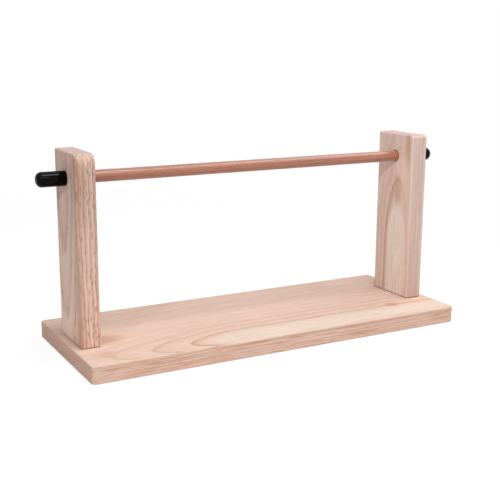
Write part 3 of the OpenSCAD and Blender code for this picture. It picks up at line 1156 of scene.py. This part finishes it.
def build_screws(settings):
    """The four wood screws, driven up through the base into the uprights."""
    screws = settings.screws
    places = screw_places()
    low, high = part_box("left_front_screw")
    head, shank, core = (high.x - low.x) / 2, screws.shank / 2, screws.core / 2
    top, start = high.z - low.z, screws.plain_shank
    point = top - screws.point
    # The head's edge is broken, and the shank runs down to the core over a short cone
    broken, run_out = 0.15 * MM, 0.6 * MM
    section = [(0.0, 0.0), (0.0, head - broken), (broken, head), (screws.head_rim, head)]
    section += [(screws.head_rim + head - shank, shank), (start, shank), (start + run_out, core)]
    # Rows are close enough to carry the thread: 12 to a pitch, and as close on the point
    rows, point_rows, facets = 12 * math.ceil((point - start) / screws.pitch), 36, 32
    for n in range(1, rows + 1):
        section.append((start + run_out + (point - start - run_out) * n / rows, core))
    for n in range(1, point_rows + 1):
        section.append((point + (top - point) * n / point_rows, core * (1 - n / point_rows)))
    first, last = places["left_front_screw"], places["right_back_screw"]
    values = {
        "Segments": facets,
        "Pitch": screws.pitch,
        "Thread Depth": shank - core,
        "Core Radius": core,
        "Thread Start": start + run_out,
        "Drive Span": screws.drive_span,
        "Drive Width": screws.drive_width,
        "Drive Depth": screws.drive_depth,
        "Spacing Along": last.x - first.x,
        "Spacing Across": last.y - first.y,
        "Head Height": low.z,
        "Seed": screws.seed,
        "Material": zinc_plate("Zinc-plated steel", settings.finish.screw),
    }
    piece = grown_piece("wood_screws", section, wood_screws_tree(), values, sharp_angle=30)
    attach(piece, "stand")
    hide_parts(*places)


def seen_rays(add):
    """One for rays that see the surroundings directly, in gloss or through glass, else zero."""
    path = add("ShaderNodeLightPath").outputs
    seen = path["Is Camera Ray"]
    for other in ("Is Glossy Ray", "Is Transmission Ray"):
        seen = add("ShaderNodeMath", (seen, path[other]), operation="MAXIMUM")
    return seen


def set_camera(studio):
    """The camera, which looks along its heading and a little down."""
    camera = new_object("Camera", bpy.data.cameras.new("Camera"))
    camera.data.sensor_width = 36.0
    camera.data.lens = studio.lens
    camera.data.clip_start, camera.data.clip_end = 0.01, 50.0
    camera.matrix_world = (
        Matrix.Translation(studio.camera_place)
        @ Matrix.Rotation(-studio.heading, 4, "Z")
        @ Matrix.Rotation(math.pi / 2 - studio.tilt, 4, "X")
        @ Matrix.Rotation(studio.roll, 4, "Z")
    )
    bpy.context.scene.camera = camera


def set_lamps(studio):
    """The area lamps, each with its place, the point it faces, its size and its power."""
    lamps = (
        ("Softbox overhead", (0.0, -0.36, 1.3), (0.0, 0.0, 0.1), (0.7, 0.42), studio.overhead_power),
        ("Softbox right", (0.75, -0.12, 1.15), (0.0, 0.0, 0.1), (1.1, 0.5), studio.right_power),
        ("Strip front", (-0.25, -1.45, 1.2), (0.0, 0.0, 0.08), (1.3, 0.1), studio.front_power),
        ("Lamp side", (-1.2, -0.9, 0.8), (-0.15, 0.0, 0.12), (0.12, 0.12), studio.side_power),
    )
    for name, place, aim, size, watts in lamps:
        lamp = bpy.data.lights.new(name, "AREA")
        lamp.shape = "RECTANGLE"
        lamp.size, lamp.size_y = size
        lamp.energy = watts
        holder = new_object(name, lamp)
        holder.location = place
        holder.rotation_euler = (Vector(aim) - Vector(place)).to_track_quat("-Z", "Y").to_euler()


def set_surroundings(studio):
    """Soft light from all round, and plain white where the surroundings are seen."""
    world = bpy.data.worlds.new("Studio surroundings")
    add = new_nodes(world)
    soft = add("ShaderNodeBackground", (linear("#FFFCF8"), studio.ambient))
    white = add("ShaderNodeBackground", (linear("#FFFFFF"), 1.0))
    both = add("ShaderNodeMixShader", (seen_rays(add), soft, white))
    add("ShaderNodeOutputWorld", both)
    bpy.context.scene.world = world


def studio_paper(name):
    """White studio paper, matt. It is seen lifted to white, so that it keeps only the soft shadow,
    and fades to plain white away from the object."""
    material = bpy.data.materials.new(name)
    add = new_nodes(material)
    lifted, fade = 0.87, (0.3, 0.9)
    paper = add("ShaderNodeBsdfDiffuse", (linear("#E6E5E4"),))
    lit = add("ShaderNodeBsdfDiffuse", (linear("#6F6E6E"),))
    lift = add("ShaderNodeEmission", {"Strength": lifted})
    near = add("ShaderNodeAddShader", (lit, lift))
    plain = add("ShaderNodeEmission", {"Strength": 1.0})
    place = add("ShaderNodeTexCoord").outputs["Object"]
    distance = add("ShaderNodeVectorMath", place, operation="LENGTH").outputs["Value"]
    away = add("ShaderNodeMapRange", distance, span=fade, interpolation_type="SMOOTHSTEP")
    shown = add("ShaderNodeMixShader", (away, near, plain))
    surface = add("ShaderNodeMixShader", (seen_rays(add), paper, shown))
    add("ShaderNodeOutputMaterial", surface)
    return material


def build_stage(settings):
    """Camera, lamps, white surroundings and a plain pale floor that keeps the soft shadow."""
    bpy.context.scene.view_settings.view_transform = "Standard"
    set_camera(settings.studio)
    set_lamps(settings.studio)
    set_surroundings(settings.studio)
    mesh = bpy.data.meshes.new("Floor")
    reach, below = 6.0, -0.2 * MM
    corners = [(x * reach, y * reach, below) for x, y in ((-1, -1), (1, -1), (1, 1), (-1, 1))]
    mesh.from_pydata(corners, [], [(0, 1, 2, 3)])
    mesh.materials.append(studio_paper("Matt white studio paper"))
    floor = new_object("Floor", mesh)


class YARNHOLDER_OT_stage(bpy.types.Operator):
    """Set up the camera, the lamps, the surroundings and the floor"""

    bl_idname = "yarn_holder.stage"
    bl_label = "Stage"

    def execute(self, context):
        build_stage(context.scene.yarn_holder)
        return {"FINISHED"}


class YARNHOLDER_OT_base_board(bpy.types.Operator):
    """Make the base board, with its countersunk holes"""

    bl_idname = "yarn_holder.base_board"
    bl_label = "Base Board"

    def execute(self, context):
        build_base_board(context.scene.yarn_holder)
        return {"FINISHED"}


class YARNHOLDER_OT_uprights(bpy.types.Operator):
    """Make the two uprights, with the rod's holes"""

    bl_idname = "yarn_holder.uprights"
    bl_label = "Uprights"

    def execute(self, context):
        for side in SIDES:
            build_upright(context.scene.yarn_holder, side)
        return {"FINISHED"}


class YARNHOLDER_OT_rod(bpy.types.Operator):
    """Make the rod that the yarn turns on"""

    bl_idname = "yarn_holder.rod"
    bl_label = "Rod"

    def execute(self, context):
        build_rod(context.scene.yarn_holder)
        return {"FINISHED"}


class YARNHOLDER_OT_end_caps(bpy.types.Operator):
    """Make the soft cap at each end of the rod"""

    bl_idname = "yarn_holder.end_caps"
    bl_label = "End Caps"

    def execute(self, context):
        settings = context.scene.yarn_holder
        vinyl = moulded_vinyl("Dipped black vinyl", settings.finish.cap)
        for side in SIDES:
            build_cap(settings, side, vinyl)
        return {"FINISHED"}


class YARNHOLDER_OT_screws(bpy.types.Operator):
    """Make the four screws that hold the uprights on the base"""

    bl_idname = "yarn_holder.screws"
    bl_label = "Screws"

    def execute(self, context):
        build_screws(context.scene.yarn_holder)
        return {"FINISHED"}


class YARNHOLDER_PT_panel(bpy.types.Panel):
    """Settings and steps of the yarn holder"""

    bl_label = "Yarn Holder"
    bl_idname = "YARNHOLDER_PT_panel"
    bl_space_type = "VIEW_3D"
    bl_region_type = "UI"
    bl_category = "Yarn Holder"

    def draw(self, context):
        settings = context.scene.yarn_holder
        for group in ("boards", "rod", "screws", "finish", "studio"):
            box = self.layout.box()
            box.label(text=group.title())
            values = getattr(settings, group)
            for name in values.bl_rna.properties.keys():
                if name not in ("rna_type", "name"):
                    box.prop(values, name)
        for step in STEPS:
            self.layout.operator(step.bl_idname)


GROUPS = (BoardSettings, RodSettings, ScrewSettings, FinishSettings, StudioSettings, YarnHolderSettings)
STEPS = (
    YARNHOLDER_OT_stage,
    YARNHOLDER_OT_base_board,
    YARNHOLDER_OT_uprights,
    YARNHOLDER_OT_rod,
    YARNHOLDER_OT_end_caps,
    YARNHOLDER_OT_screws,
)


def register():
    """Registers the settings, the steps and the panel."""
    for kind in (*GROUPS, *STEPS, YARNHOLDER_PT_panel):
        bpy.utils.register_class(kind)
    bpy.types.Scene.yarn_holder = PointerProperty(type=YarnHolderSettings)


def unregister():
    """Takes the settings, the steps and the panel away again."""
    del bpy.types.Scene.yarn_holder
    for kind in reversed((*GROUPS, *STEPS, YARNHOLDER_PT_panel)):
        bpy.utils.unregister_class(kind)


def main():
    """Builds the stage and every piece."""
    register()
    bpy.ops.yarn_holder.stage()
    bpy.ops.yarn_holder.base_board()
    bpy.ops.yarn_holder.uprights()
    bpy.ops.yarn_holder.rod()
    bpy.ops.yarn_holder.end_caps()
    bpy.ops.yarn_holder.screws()
    bpy.context.view_layer.update()


if __name__ == "__main__":
    main()
